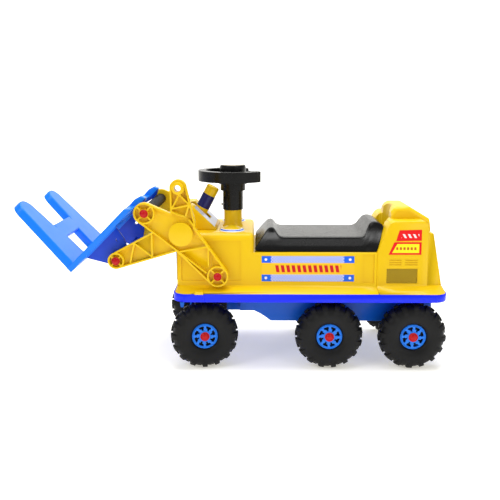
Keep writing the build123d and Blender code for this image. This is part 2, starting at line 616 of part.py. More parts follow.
wheel_turn = Pos(column_x, 0, 0) * Rot(0, 0, steer_at_rest + wheel_offset)
nodes["steering_wheel"] = wheel_turn * wheel_piece
nodes["sleeve_screw"] = wheel_turn * set_screw
pod = rod_z(0, 0, pod_r, ring_top - 5, pod_top)
pod = fillet(pod.faces().sort_by(Axis.Z)[-1].edges(), 3.0)
pod -= rod_z(0, 0, shaft_r, ring_top - 6, shaft_top)
nodes["wheel_pod"] = wheel_turn * pod
nodes["pod_label"] = wheel_turn * rod_z(0, 0, pod_r - 4.5, pod_top, pod_top + label_thick)

# ---- Loader arms ---------------------------------------------------------------------------------------
upper_r, pivot_r, fork_end_r, disc_r, tower_r = 19.5, 19.5, 15.0, 28.0, 15.0
tower_foot = (-133.0, 272.0)
tower_foot_r = 22.0
tower_hole_r = 6.0
boss_r = 12.0


def arm_outline(tower):
    outline = ring_link(upper_pin, upper_r, disc_at, disc_r) + ring_link(disc_at, disc_r, lift_pivot, pivot_r)
    outline += ring_link(fork_pin, fork_end_r, disc_at, disc_r)
    if tower:
        outline += ring_link(tower_foot, tower_foot_r, tower_at, tower_r)
    return outline


def arm_ribs(tower):
    """The ribs and bosses that stay at full thickness, as a flat outline."""
    ribs = Sketch()
    for centre, outer, inner in ((upper_pin, upper_r, 8.5), (lift_pivot, pivot_r, 8.5), (fork_pin, fork_end_r, 7.5)):
        ribs += Pos(*centre) * Circle(outer) - Pos(*centre) * Circle(outer - rib)
        ribs += Pos(*centre) * Circle(inner)
        for i in range(2):
            turn = radians(45 * 1 + 90 * i)
            dx, dy = (outer - 1) * cos(turn), (outer - 1) * sin(turn)
            ribs += strip((centre[0] - dx, centre[1] - dy), (centre[0] + dx, centre[1] + dy), 2.6)
    ribs += Pos(*disc_at) * Circle(22.0)
    lines = [((-217, 281), (-92, 183)), ((-190, 257), (-190, 213)), ((-221, 237), (-190, 213)),
             ((-222, 238), (-230, 202)), ((-140, 222), (-88, 232)), ((-88, 232), (-88, 196)),
             ((-197, 311), (-128, 286)), ((-122, 281), (-108, 262))]
    if tower:
        lines += [((-157, 300), (-118, 308)), ((-139, 326), (-153, 300)), ((-139, 326), (-119, 306)),
                  ((-122, 306), (-128, 288))]
    for a, b in lines:
        ribs += strip(a, b, rib)
    if tower:
        ribs += Pos(*tower_at) * Circle(boss_r)
    return ribs


def loader_arm(tower):
    """The left arm, with its ribbed side towards -Y."""
    outline = arm_outline(tower)
    inner = offset(outline, amount=-rib)
    pockets = inner - arm_ribs(tower)
    outer_y = -(arm_inner + arm_thick)
    arm = sketch_plate(outline, outer_y, -arm_inner)
    arm -= sketch_plate(pockets, outer_y - 1, -arm_inner - arm_web)
    for x, z in (lift_pivot, upper_pin, fork_pin):
        arm -= rod_y(x, z, axle_r, outer_y - 1, -arm_inner + 1)
    if tower:
        arm += rod_y(tower_at[0], tower_at[1], boss_r - 1.5, outer_y - tower_stand, outer_y + 1)
        arm -= rod_y(tower_at[0], tower_at[1], tower_hole_r, outer_y - tower_stand - 1, -arm_inner + 1)
    return arm


tower_stand = 9.0
nodes["loader_arm_left"] = loader_arm(True)
nodes["loader_arm_right"] = mirrored(loader_arm(False))
rod_end = arm_inner + arm_thick + 3.0
small_cap_r = 7.5
arm_caps = []
for name, (x, z) in (("lift_shaft", lift_pivot), ("roller_rod", upper_pin), ("fork_rod", fork_pin)):
    nodes[name] = rod_y(x, z, axle_r, -rod_end, rod_end)
    cap = dome_cap(arm_inner + arm_thick, 5.0, small_cap_r, axle_r, 3.0)
    arm_caps += [Pos(x, 0, z) * c for c in pair(cap)]
nodes["arm_caps"] = arm_caps
roller_r = 10.5
roller = rod_y(upper_pin[0], upper_pin[1], roller_r, -arm_inner + gap, arm_inner - gap)
roller -= rod_y(upper_pin[0], upper_pin[1], axle_r + running, -arm_inner, arm_inner)
nodes["cross_roller"] = roller

# ---- Fork ----------------------------------------------------------------------------------------------
lean = radians(tine_lean)
steep = radians(plate_lean)
corner = (fork_corner[0], 0, fork_corner[1])
# Along local x the tines run outwards; the back plate rises along its own local z. Local y is across the truck.
tine_plane = Plane(corner, x_dir=(-cos(lean), 0, sin(lean)), z_dir=(sin(lean), 0, cos(lean)))
plate_plane = Plane(corner, x_dir=(-sin(steep), 0, cos(steep)), z_dir=(cos(steep), 0, sin(steep)))


def tine_plan():
    """Both tines, the bar between them and the foot of the plate, seen square on."""
    plan = Sketch()
    for side in (-1, 1):
        outline = [(-plate_depth, side * plate_half), (tine_length, side * (tine_tip_y + tine_tip_r)),
                   (tine_length, side * (tine_tip_y - tine_tip_r)), (bar_to, side * (window_half + 16)),
                   (bar_from, side * (window_half + 4)), (0, side * window_half), (-plate_depth, side * window_half)]
        tine = make_face(Polyline([(x, y, 0) for x, y in outline], close=True))
        plan += fillet(tine.vertices().filter_by(lambda v: v.X > tine_length - 1), tine_tip_r - 1)
    plan += Pos((bar_from + bar_to) / 2, 0) * Rectangle(bar_to - bar_from, 2 * window_half + 30)
    plan += Pos(-plate_depth / 2, 0) * Rectangle(plate_depth, 2 * plate_half)
    return plan


tines = Pos(0, 0, -tine_thick) * extrude(tine_plan(), amount=tine_thick)
tines = fillet(tines.faces().sort_by(Axis.Z)[-1].edges().filter_by(lambda e: e.center().X > 2), 3.0)
for side in (-1, 1):
    pad = make_face(Polyline([(x, y, 0) for x, y in (
        (pad_from, side * (plate_half - pad_inset - 3)),
        (tine_length - tine_tip_r, side * (tine_tip_y + tine_tip_r - pad_inset)),
        (tine_length - pad_inset, side * tine_tip_y),
        (tine_length - tine_tip_r, side * (tine_tip_y - tine_tip_r + pad_inset)),
        (bar_to, side * (window_half + 16 + pad_inset)), (pad_from, side * (window_half + pad_inset + 3)))], close=True))
    tines += extrude(Pos(0, 0, -1) * pad, amount=1 + pad_rise, dir=(0, 0, 1))
plate_long = plate_height + plate_depth / tan(steep)
plate = Pos(0, 0, -tine_thick) * Box(plate_depth, 2 * plate_half, plate_long + tine_thick,
                                     align=(Align.MAX, Align.CENTER, Align.MIN))
plate -= Pos(-plate_skin, 0, 6) * Box(40, 2 * plate_half - 10, plate_height - 14,
                                      align=(Align.MAX, Align.CENTER, Align.MIN))
for i in range(3):
    y = -65.0 + 65.0 * i
    plate += Pos(-plate_depth, y, 0) * Box(plate_depth - plate_skin + 1, 4, plate_height - 4,
                                           align=(Align.MIN, Align.CENTER, Align.MIN))
fork_top = fork_corner[1] + plate_height * sin(steep)
fork_solid = (plate_plane * plate) - block(-400, 0, -200, 200, fork_top, 400)
fork_solid += tine_plane * tines


def on_plate(along, behind):
    """A point X, Z so far up the plate and so far behind its front face."""
    point = Vector(*corner) + plate_plane.z_dir * along - plate_plane.x_dir * behind
    return (point.X, point.Z)


# Two lugs carry the fork on its rod.
lug = make_face(Polyline([(x, z, 0) for x, z in [
    on_plate(14, 1), on_plate(14, plate_depth), (-262.0, 193.5), (-243, 205), (-239, 230), (-243, 243),
    on_plate(95, plate_depth), on_plate(95, 1)]], close=True))
lug += Pos(*fork_pin) * Circle(13.0)
for y0 in (-lug_outer, lug_inner):
    fork_solid += sketch_plate(lug, y0, y0 + lug_outer - lug_inner)
fork_solid -= rod_y(fork_pin[0], fork_pin[1], axle_r + running, -arm_inner, arm_inner)
fork_solid -= rod_y(fork_pin[0] + 1, fork_pin[1] + 36, lug_hole_r, -arm_inner, arm_inner)
# Two hooks reach over the cross roller, and their noses rest on it when the fork leans right back.
rest_on = Vector(upper_pin[0], 0, upper_pin[1]) + plate_plane.x_dir * (roller_r + gap)
nose_low = rest_on - plate_plane.z_dir * 5
nose_high = rest_on + plate_plane.z_dir * 3
hook_points = [on_plate(112, 2), on_plate(130, 1), (-224.0, 314.0), (-213, 320), (-204, 317), (-206, 310.5),
               (nose_high.X, nose_high.Z), (nose_low.X, nose_low.Z), on_plate(112, plate_depth)]
for y0 in (-hook_outer, hook_outer - hook_width):
    fork_solid += side_plate(hook_points, y0, y0 + hook_width)
nodes["fork"] = fork_solid

# ---- Seat lid ------------------------------------------------------------------------------------------
hinge = (2.0, 222.0)
hinge_r = 2.0
hinge_lift = 3.5            # how far the lid's front edge stands above the deck, so that it can swing
seat_bottom = deck_z + 1.5
seat_side = [(seat_front_x, deck_z + hinge_lift), (seat_front_x, 224.0), (16.0, 249.0), (22.0, 256.0), (27.0, seat_pommel),
             (32.0, 254.0), (39.0, 245.5), (46.0, seat_top), (199.0, seat_top), (205.0, 250.0), (211.0, 263.0),
             (219.0, seat_bump), (230.0, seat_bump - 2), (housing_front_x + 17.5, 261.0),
             (housing_front_x - 1.0, seat_bottom), (hinge[0] + 8, seat_bottom), (hinge[0] + 7, deck_z + hinge_lift)]
seat_cut_x = housing_front_x - 1.0


def seat_form(inset):
    """The lid's outer form, or the hollow under it."""
    z_low = seat_bottom - (1 if inset else 0)
    low, mid, high = seat_half_base - inset, seat_half_base - 2 - inset, seat_half_top - inset
    crown = 52.0 - inset
    half = [(low, z_low), (mid, 224), (high, seat_top - inset), (high - 8, seat_top + 5), (crown, 262 - inset),
            (crown - 8, 272)]
    ring_points = [(0, -y, z) for y, z in half] + [(0, y, z) for y, z in reversed(half)]
    across = extrude(make_face(Polyline(ring_points, close=True)), amount=300, dir=(1, 0, 0))
    return Pos(-30, 0, 0) * across


lid = side_plate(seat_side, -120, 120) & seat_form(0)
room_side = [(seat_front_x + wall, seat_bottom - 1), (seat_front_x + wall, 226.0), (27.0, seat_pommel - wall - 2),
             (38.0, seat_top - wall), (205.0, seat_top - wall), (216.0, 257.0), (228.0, 257.0),
             (seat_cut_x - wall, seat_bottom - 1)]
lid -= side_plate(room_side, -120, 120) & seat_form(wall)
knuckle_r = 4.5
ear_r = 4.0
lid_knuckle = (38.0, 47.5)      # across the truck, from and to
ear_span = (48.0, 52.0)
for y0, y1 in (lid_knuckle, (-lid_knuckle[1], -lid_knuckle[0])):
    lid += rod_y(hinge[0], hinge[1], knuckle_r, y0, y1) & block(seat_front_x, 50, -200, 200, 0, 400)
for y0, y1 in (ear_span, (-ear_span[1], -ear_span[0])):
    lid -= block(seat_front_x - 1, hinge[0] + ear_r + 1, y0 - gap, y1 + gap, deck_z, hinge[1] + ear_r + 1)
pin_end = ear_span[1] + 1.0
lid -= rod_y(hinge[0], hinge[1], hinge_r + running, -pin_end - 1, pin_end + 1)
nodes["seat_lid"] = lid
nodes["seat_hinge_pin"] = rod_y(hinge[0], hinge[1], hinge_r, -pin_end, pin_end)
ears = []
for y0, y1 in (ear_span, (-ear_span[1], -ear_span[0])):
    ear = block(hinge[0] - ear_r, hinge[0] + ear_r, y0, y1, deck_z, hinge[1]) + rod_y(hinge[0], hinge[1], ear_r, y0, y1)
    ears.append(ear - rod_y(hinge[0], hinge[1], hinge_r, y0 - 1, y1 + 1))
nodes["hinge_ears"] = ears

# ---- Body screws ---------------------------------------------------------------------------------------
screws = []
for x in screw_xs:
    for y in (-screw_y, screw_y):
        head = rod_z(x, y, 4.0, deck_under - 2.5, deck_under)
        screws.append(rod_z(x, y, screw_r, deck_under, post_top - 3) + head)
nodes["body_screws"] = screws

# ---- Labels --------------------------------------------------------------------------------------------


def side_label(points):
    """A thin printed label lying on the leaning side of the body, left and right."""
    outline = side_plate(points, -150, 150)
    low, high = min(z for _, z in points) - 1, max(z for _, z in points) + 1
    x0, x1 = min(x for x, _ in points) - 1, max(x for x, _ in points) + 1
    skin = leaning_block(x0, x1, low, high, inset=-label_thick) - leaning_block(x0 - 1, x1 + 1, low - 1, high + 1)
    return list((skin & outline).solids())


nodes["side_labels"] = side_label([(9, 163), (180, 163), (180, 210), (9, 210)])
nodes["rear_labels_upper"] = side_label([(256, 238), (303, 239), (303, 259), (262, 258)])
nodes["rear_labels_lower"] = side_label([(243, 213), (303, 213), (303, 236), (253, 236)])
dash_label = slot_plane * (Pos(7, 0, 0) * Box(52, 96, label_thick, align=(Align.MIN, Align.CENTER, Align.MIN)))
label_gap = slot_plane * (Pos(0, 0, -5) * Box(slot_to + 1, 2 * (lever_r + 3), 20,
                                              align=(Align.MIN, Align.CENTER, Align.MIN)))
nodes["dash_label"] = dash_label - label_gap

# ---- Write each piece ----------------------------------------------------------------------------------
low_x = nodes["fork"].bounding_box().min.X
high_x = max(rear_axle_x + wheel_r, rim_rear_x)
to_middle = Pos(-(low_x + high_x) / 2, 0, 0)


def place_all():
    placed = {}
    for name, shape in nodes.items():
        solids = shape if isinstance(shape, list) else [shape]
        solids = [to_middle * s for s in solids]
        placed[name] = solids[0] if len(solids) == 1 else Compound(solids)
    return placed


os.makedirs("parts", exist_ok=True)
for name, shape in place_all().items():
    export_step(shape, f"parts/{name}.step")
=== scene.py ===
import json
from math import atan2, cos, pi, radians, sin

import bmesh
import bpy
from mathutils import Matrix, Vector


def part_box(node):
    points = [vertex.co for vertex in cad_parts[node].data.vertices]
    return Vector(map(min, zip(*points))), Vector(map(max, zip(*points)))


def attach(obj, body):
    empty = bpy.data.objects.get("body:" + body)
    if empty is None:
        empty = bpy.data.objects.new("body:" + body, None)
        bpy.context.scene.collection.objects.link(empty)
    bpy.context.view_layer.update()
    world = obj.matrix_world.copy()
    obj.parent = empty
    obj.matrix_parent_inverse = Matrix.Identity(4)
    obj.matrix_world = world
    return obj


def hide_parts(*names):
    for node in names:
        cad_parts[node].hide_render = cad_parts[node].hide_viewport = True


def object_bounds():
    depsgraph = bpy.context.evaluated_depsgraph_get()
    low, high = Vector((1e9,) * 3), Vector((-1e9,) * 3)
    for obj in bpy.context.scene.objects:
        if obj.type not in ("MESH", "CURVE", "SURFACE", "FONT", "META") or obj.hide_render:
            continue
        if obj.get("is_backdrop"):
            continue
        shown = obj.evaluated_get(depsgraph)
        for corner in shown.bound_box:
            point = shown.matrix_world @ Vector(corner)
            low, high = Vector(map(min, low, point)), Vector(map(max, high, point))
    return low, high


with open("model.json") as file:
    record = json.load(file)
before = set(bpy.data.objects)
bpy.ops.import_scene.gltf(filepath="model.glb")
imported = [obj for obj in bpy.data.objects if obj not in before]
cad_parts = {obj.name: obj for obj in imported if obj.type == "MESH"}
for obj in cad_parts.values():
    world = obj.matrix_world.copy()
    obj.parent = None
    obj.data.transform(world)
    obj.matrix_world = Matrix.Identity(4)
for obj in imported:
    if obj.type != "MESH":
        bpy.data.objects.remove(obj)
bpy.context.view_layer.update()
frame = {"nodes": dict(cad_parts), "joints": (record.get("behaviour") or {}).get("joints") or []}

scene = bpy.context.scene

# ---- Studio: a pale floor that sweeps up behind, soft light from both sides and above, and the camera -----
# The camera looks from the truck's left side, a little from above.
column = sum(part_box("steering_shaft"), Vector()) / 2
eye = Vector((column.x + 0.047, -1.306, 0.468))
camera_data = bpy.data.cameras.new("camera")
camera_data.sensor_width = 36.0
camera_data.lens = 48.3
camera = bpy.data.objects.new("camera", camera_data)
camera.location = eye
camera.rotation_euler = (radians(90 - 11.5), 0, radians(0.6))
scene.collection.objects.link(camera)
scene.camera = camera

floor_mesh = bpy.data.meshes.new("floor")
floor_form = bmesh.new()
sweep = [floor_form.verts.new((-6, y, z)) for y, z in ((-6, 0), (3.2, 0), (4.3, 0.25), (5.0, 1.0), (5.2, 5))]
sweep_edges = [floor_form.edges.new(pair) for pair in zip(sweep, sweep[1:])]
grown = bmesh.ops.extrude_edge_only(floor_form, edges=sweep_edges)
bmesh.ops.translate(floor_form, vec=(12, 0, 0),
                    verts=[v for v in grown["geom"] if isinstance(v, bmesh.types.BMVert)])
bmesh.ops.recalc_face_normals(floor_form, faces=floor_form.faces)
for face in floor_form.faces:
    face.smooth = True
floor_form.to_mesh(floor_mesh)
floor = bpy.data.objects.new("floor", floor_mesh)
scene.collection.objects.link(floor)
floor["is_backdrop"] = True


class Value:
    """A socket that can be used in sums and comparisons, each of which adds a Math node."""

    def __init__(self, finish, socket):
        self.finish, self.socket = finish, socket

    def sum(self, operation, a, b=0.0, c=0.5):
        return self.finish.node("Math", {"operation": operation}, {0: a, 1: b, 2: c})

    def __add__(self, other): return self.sum("ADD", self, other)
    def __radd__(self, other): return self.sum("ADD", other, self)
    def __sub__(self, other): return self.sum("SUBTRACT", self, other)
    def __rsub__(self, other): return self.sum("SUBTRACT", other, self)
    def __mul__(self, other): return self.sum("MULTIPLY", self, other)
    def __rmul__(self, other): return self.sum("MULTIPLY", other, self)
    def __truediv__(self, other): return self.sum("DIVIDE", self, other)
    def __lt__(self, other): return self.sum("LESS_THAN", self, other)
    def __gt__(self, other): return self.sum("GREATER_THAN", self, other)


class Finish:
    """A material being made: its nodes, and the shader they feed."""

    def __init__(self, name, color, roughness, **sockets):
        self.material = bpy.data.materials.new(name)
        self.material.use_nodes = True
        self.tree = self.material.node_tree
        self.shader = self.tree.nodes["Principled BSDF"]
        self.shader.inputs["Base Color"].default_value = (*color, 1)
        self.shader.inputs["Roughness"].default_value = roughness
        for socket, value in sockets.items():
            self.shader.inputs[socket.replace("_", " ")].default_value = value

    def node(self, kind, settings, inputs, output=0):
        made = self.tree.nodes.new("ShaderNode" + kind)
        for name, value in settings.items():
            setattr(made, name, value)
        for socket, value in inputs.items():
            if isinstance(value, Value):
                self.tree.links.new(value.socket, made.inputs[socket])
            else:
                made.inputs[socket].default_value = value
        return Value(self, made.outputs[output])

    def place(self):
        """Where a point is on the object, in metres."""
        return self.node("TexCoord", {}, {}, "Object")

    def axis(self, name):
        return self.node("SeparateXYZ", {}, {0: self.place()}, name)

    def noise(self, scale, detail=3.0, roughness=0.5):
        return self.node("TexNoise", {}, {"Vector": self.place(), "Scale": scale, "Detail": detail,
                                          "Roughness": roughness}, "Fac")

    def mix(self, mask, a, b):
        """Colour a where the mask is 0 and colour b where it is 1."""
        colors = {6: a if isinstance(a, Value) else (*a, 1), 7: b if isinstance(b, Value) else (*b, 1)}
        return self.node("Mix", {"data_type": "RGBA"}, {0: mask, **colors}, 2)

    def ramp(self, value, low, high):
        """From low to high as the value goes from 0 to 1."""
        return self.node("MapRange", {}, {"Value": value, "To Min": low, "To Max": high})

    def feed(self, socket, value):
        self.tree.links.new(value.socket, self.shader.inputs[socket])

    def bump(self, height, strength, distance):
        sockets = {"Height": height, "Strength": strength, "Distance": distance}
        self.feed("Normal", self.node("Bump", {}, sockets))

    def cover(self, piece):
        piece.data.materials.clear()
        piece.data.materials.append(self.material)


# The floor is matt white paper with a faint warm glow of its own.
paper = Finish("floor_paper", (0.9, 0.9, 0.9), 0.95, Specular_IOR_Level=0.0, Emission_Strength=0.42)
paper.shader.inputs["Emission Color"].default_value = (1, 0.97, 0.86, 1)
paper.feed("Roughness", paper.ramp(paper.noise(3.0), 0.9, 1.0))
paper.cover(floor)


def soft_light(name, place, aim, size, power):
    data = bpy.data.lights.new(name, "AREA")
    data.shape, data.size, data.energy = "SQUARE", size, power
    light = bpy.data.objects.new(name, data)
    light.location = place
    light.rotation_euler = (Vector(aim) - Vector(place)).to_track_quat("-Z", "Y").to_euler()
    scene.collection.objects.link(light)


soft_light("overhead", (0.1, 0.25, 2.4), (0, 0, 0.1), 1.7, 62)
soft_light("left_softbox", (-1.7, -1.5, 1.7), (0, 0, 0.2), 1.1, 17)
soft_light("right_softbox", (1.6, -1.9, 1.3), (0, 0, 0.2), 1.2, 12)
soft_light("backdrop_light", (0, 2.2, 2.8), (0, 4.6, 0.8), 3.0, 70)
world = bpy.data.worlds.new("studio")
world.use_nodes = True
world.node_tree.nodes["Background"].inputs["Color"].default_value = (1, 1, 1, 1)
world.node_tree.nodes["Background"].inputs["Strength"].default_value = 0.35
scene.world = world
scene.view_settings.view_transform = "Standard"

# ---- Chassis: a bright blue rim round the truck, and the deeper blue tub and axle blocks below it ---------
# Injection-moulded plastic. The rim is glossy, and every corner has the small round a mould leaves.


short_neighbour = 2.2     # an edge that meets one shorter than this many widths stays sharp


def softened(node, body, edge, steps=2, merge=1e-6, settle=None):
    """A moulded copy of a piece, its facets joined and its corners rounded, in place of the plain one."""
    form = bmesh.new()
    form.from_mesh(frame["nodes"][node].data)
    bmesh.ops.remove_doubles(form, verts=form.verts, dist=merge)
    if settle:
        settle(form)
    bmesh.ops.join_triangles(form, faces=form.faces, angle_face_threshold=radians(0.4),
                             angle_shape_threshold=pi)
    return shown(form, node + "_moulding", body, edge, steps, stands_for=[node])


def shown(form, name, body, edge=0.0, steps=2, angle=28, stands_for=()):
    """The finished mesh as a piece that rides on a body, with the edges sharper than an angle rounded."""
    mesh = bpy.data.meshes.new(name)
    for face in form.faces:
        face.smooth = True
    rounded = form.edges.layers.float.new("bevel_weight_edge")
    for line in form.edges:
        if len(line.link_faces) == 2 and line.calc_face_angle(0) > radians(angle):
            around = [other.calc_length() for end in line.verts for other in end.link_edges]
            line.smooth = min(around) > short_neighbour * edge > 0
            line[rounded] = float(line.smooth)
    form.to_mesh(mesh)
    form.free()
    piece = bpy.data.objects.new(name, mesh)
    scene.collection.objects.link(piece)
    if edge:
        rounding = piece.modifiers.new("rounded corners", "BEVEL")
        rounding.width, rounding.segments, rounding.limit_method = edge, steps, "WEIGHT"
        rounding.use_clamp_overlap = False
        rounding.harden_normals = True
    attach(piece, body)
    if stands_for:
        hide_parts(*stands_for)
    return piece


def plastic(name, color, roughness, spread=0.06, coat=0.05, grain=0.02, shine=0.25):
    """Moulded plastic, nearly even in colour: faintly cloudy, with the fine unevenness of a polished mould."""
    finish = Finish(name, color, roughness, Coat_Weight=coat, Coat_Roughness=0.12, Specular_IOR_Level=shine)
    cloud = finish.noise(9.0, 2.0)
    darker = tuple(c * 0.9 for c in color)
    finish.feed("Base Color", finish.mix(cloud, darker, color))
    finish.feed("Roughness", finish.ramp(finish.noise(60.0, 4.0), roughness - spread, roughness + spread))
    finish.bump(finish.noise(420.0, 2.0), grain, 0.0004)
    return finish


rim_blue = plastic("rim_blue", (0.002, 0.02, 0.95), 0.32)
rim_blue.cover(softened("chassis_rim", "truck", 0.0012))
tub_blue = plastic("tub_blue", (0.001, 0.1, 0.55), 0.4)
tub_blue.cover(softened("chassis_tub", "truck", 0.001))
tub_blue.cover(frame["nodes"]["chassis_blocks"])

# ---- Body shell, rear housing and dash console: the yellow mouldings --------------------------------------
# Tough yellow plastic with a satin gloss, one shell in front and one behind, screwed down from below. A
# white ring with a blue line is printed on each low dome beside the steering column.
yellow = plastic("body_yellow", (0.88, 0.57, 0.002), 0.36)
dome_above_foot = 0.106
dome_from_middle = 0.058
white_ring = (0.0185, 0.0235)
blue_line = (0.0200, 0.0220)
off_x = yellow.axis("X") - column.x
off_y = yellow.axis("Y").sum("ABSOLUTE", yellow.axis("Y")) - dome_from_middle
squares = off_x * off_x + off_y * off_y
off = squares.sum("SQRT", squares)
above = yellow.axis("Z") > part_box("body_shell")[0].z + dome_above_foot
ring = above * (off > white_ring[0]) * (off < white_ring[1])
line = above * (off > blue_line[0]) * (off < blue_line[1])
plain = Value(yellow, yellow.shader.inputs["Base Color"].links[0].from_socket)
ringed = yellow.mix(ring, plain, (0.8, 0.85, 0.95))
yellow.feed("Base Color", yellow.mix(line, ringed, (0.01, 0.12, 0.75)))
for node, edge in (("body_shell", 0.0014), ("rear_housing", 0.0016), ("dash_console", 0.0014)):
    yellow.cover(softened(node, "truck", edge))

# ---- Tyres: blow-moulded hollow black plastic -------------------------------------------------------------
# Each is one skin with two staggered rows of chunky lugs, smooth bulging sidewalls and a closed web
# behind the hub.
tyre_black = plastic("tyre_black", (0.006, 0.006, 0.006), 0.5, 0.08, 0.0, 0.08, 0.2)
tread_r = 0.063           # over the lugs
skin_r = 0.0591           # between them
shoulder_r = 0.0500       # where the lugs begin on the sidewall
lugs_round = 16
steps_per_lug = 10
lug_share = 0.17          # half a lug's width, as a share of the lugs' spacing


def tyre_form():
    """A tyre about the Y axis, with the outer side towards -Y."""
    section = [(0.0105, -0.0085), (0.0235, -0.0095), (0.0243, -0.0140), (0.0262, -0.0172), (0.0300, -0.0196),
               (0.0360, -0.0212), (0.0420, -0.0216), (0.0480, -0.0206), (0.0525, -0.0182), (0.0560, -0.0145),
               (0.0582, -0.0100), (0.0590, -0.0050), (0.0592, 0.0)]
    section += [(r, -y) for r, y in reversed(section[2:-1])]
    form = bmesh.new()
    line = [form.verts.new((r, y, 0)) for r, y in section]
    edges = [form.edges.new(pair) for pair in zip(line, line[1:])]
    bmesh.ops.spin(form, geom=line + edges, cent=(0, 0, 0), axis=(0, 1, 0), angle=2 * pi,
                   steps=lugs_round * steps_per_lug, use_merge=True)
    bmesh.ops.remove_doubles(form, verts=form.verts, dist=1e-5)
    bmesh.ops.recalc_face_normals(form, faces=form.faces)
    for row in (-1, 1):
        for lug in range(lugs_round):
            middle = 2 * pi * (lug + (0.5 if row > 0 else 0.0)) / lugs_round
            reach = lug_share * 2 * pi / lugs_round
            faces = []
            for face in form.faces:
                at = face.calc_center_median()
                r = (at.x ** 2 + at.z ** 2) ** 0.5
                off = (atan2(at.z, at.x) - middle + pi) % (2 * pi) - pi
                if r > shoulder_r and row * at.y > 0.0015 and abs(off) < reach:
                    faces.append(face)
            raised = bmesh.ops.extrude_face_region(form, geom=faces)["geom"]
            tops = [v for v in raised if isinstance(v, bmesh.types.BMVert)]
            bmesh.ops.delete(form, geom=faces, context="FACES")
            for vert in tops:
                r = (vert.co.x ** 2 + vert.co.z ** 2) ** 0.5
                grow = min(1.0, max(0.25, (r - 0.046) / 0.010))
                lift = (tread_r - skin_r) * grow
                vert.co.x *= 1 + lift / r
                vert.co.z *= 1 + lift / r
                vert.co.y *= 1 + 0.02 * grow
    return form


# Where each wheel stands: the outer side faces away from the truck, and the front pair is steered.
wheels = {}
for axle in ("front", "middle", "rear"):
    for side in ("left", "right"):
        low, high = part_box(f"tyre_{axle}_{side}")
        turn = 0.0 if side == "left" else pi
        if axle == "front":
            rod = next(j for j in frame["joints"] if j["name"] == f"front_{side}_spin")["axis"]
            turn += atan2(-rod[0], rod[1])
        wheels[f"{axle}_{side}"] = Matrix.Translation((low + high) / 2) @ Matrix.Rotation(turn, 4, "Z")

for number, (wheel, place) in enumerate(wheels.items()):
    form = tyre_form()
    bmesh.ops.rotate(form, verts=form.verts, cent=(0, 0, 0), matrix=Matrix.Rotation(0.9 * number, 3, "Y"))
    bmesh.ops.transform(form, matrix=place, verts=form.verts)
    bmesh.ops.recalc_face_normals(form, faces=form.faces)
    tyre = shown(form, f"tyre_skin_{wheel}", f"{wheel}_wheel", 0.0007, 2, 30, [f"tyre_{wheel}"])
    tyre_black.cover(tyre)

# ---- Hubs: blue moulded centres with eight slanting spokes ------------------------------------------------
# A bright raised rim, a collar round the axle, and triangular windows with the dark tyre behind them.
hub_blue = plastic("hub_blue", (0.012, 0.2, 0.85), 0.34)
spokes = 8
hub_face = -0.0150
spoke_slant = -16         # radians for each metre out from the collar


def hub_form():
    """A hub about the Y axis, its face towards -Y."""
    form = bmesh.new()
    rings = (0.0088, 0.0112, 0.0150, 0.0196, 0.0212)
    line = [form.verts.new((r, hub_face + 0.0022, 0)) for r in rings]
    edges = [form.edges.new(pair) for pair in zip(line, line[1:])]
    bmesh.ops.spin(form, geom=line + edges, cent=(0, 0, 0), axis=(0, 1, 0), angle=2 * pi, steps=6 * spokes,
                   use_merge=True)
    bmesh.ops.remove_doubles(form, verts=form.verts, dist=1e-5)
    windows = []
    for face in form.faces:
        at = face.calc_center_median()
        r = (at.x ** 2 + at.z ** 2) ** 0.5
        sector = int((atan2(at.z, at.x) % (2 * pi)) / (2 * pi / (6 * spokes))) % 6
        if 0.0112 < r < 0.0150 and sector in (1, 2) or 0.0150 < r < 0.0196 and sector < 4:
            windows.append(face)
    bmesh.ops.delete(form, geom=windows, context="FACES")
    for vert in form.verts:
        r = (vert.co.x ** 2 + vert.co.z ** 2) ** 0.5
        slant = Matrix.Rotation(spoke_slant * (r - 0.0112), 3, "Y")
        if r > 0.0112:
            vert.co = slant @ vert.co
    bmesh.ops.solidify(form, geom=form.faces, thickness=0.0030)
    rim = [(0.0205, hub_face + 0.0030), (0.0209, hub_face + 0.0004), (0.0222, hub_face - 0.0006),
           (0.0236, hub_face), (0.0243, hub_face + 0.0016), (0.0243, 0.0150), (0.0205, 0.0150)]
    collar = [(0.0045, hub_face - 0.0012), (0.0098, hub_face - 0.0012), (0.0106, hub_face - 0.0002),
              (0.0108, hub_face + 0.0200), (0.0045, hub_face + 0.0200)]
    for section in (rim, collar):
        line = [form.verts.new((r, y, 0)) for r, y in section]
        edges = [form.edges.new(pair) for pair in zip(line, line[1:] + line[:1])]
        bmesh.ops.spin(form, geom=line + edges, cent=(0, 0, 0), axis=(0, 1, 0), angle=2 * pi, steps=64,
                       use_merge=True)
    bmesh.ops.remove_doubles(form, verts=form.verts, dist=1e-6)
    return form


for number, (wheel, place) in enumerate(wheels.items()):
    form = hub_form()
    bmesh.ops.rotate(form, verts=form.verts, cent=(0, 0, 0), matrix=Matrix.Rotation(0.4 * number, 3, "Y"))
    bmesh.ops.transform(form, matrix=place, verts=form.verts)
    bmesh.ops.recalc_face_normals(form, faces=form.faces)
    hub = shown(form, f"hub_spokes_{wheel}", f"{wheel}_wheel", 0.0003, 2, 30, [f"hub_{wheel}"])
    hub_blue.cover(hub)

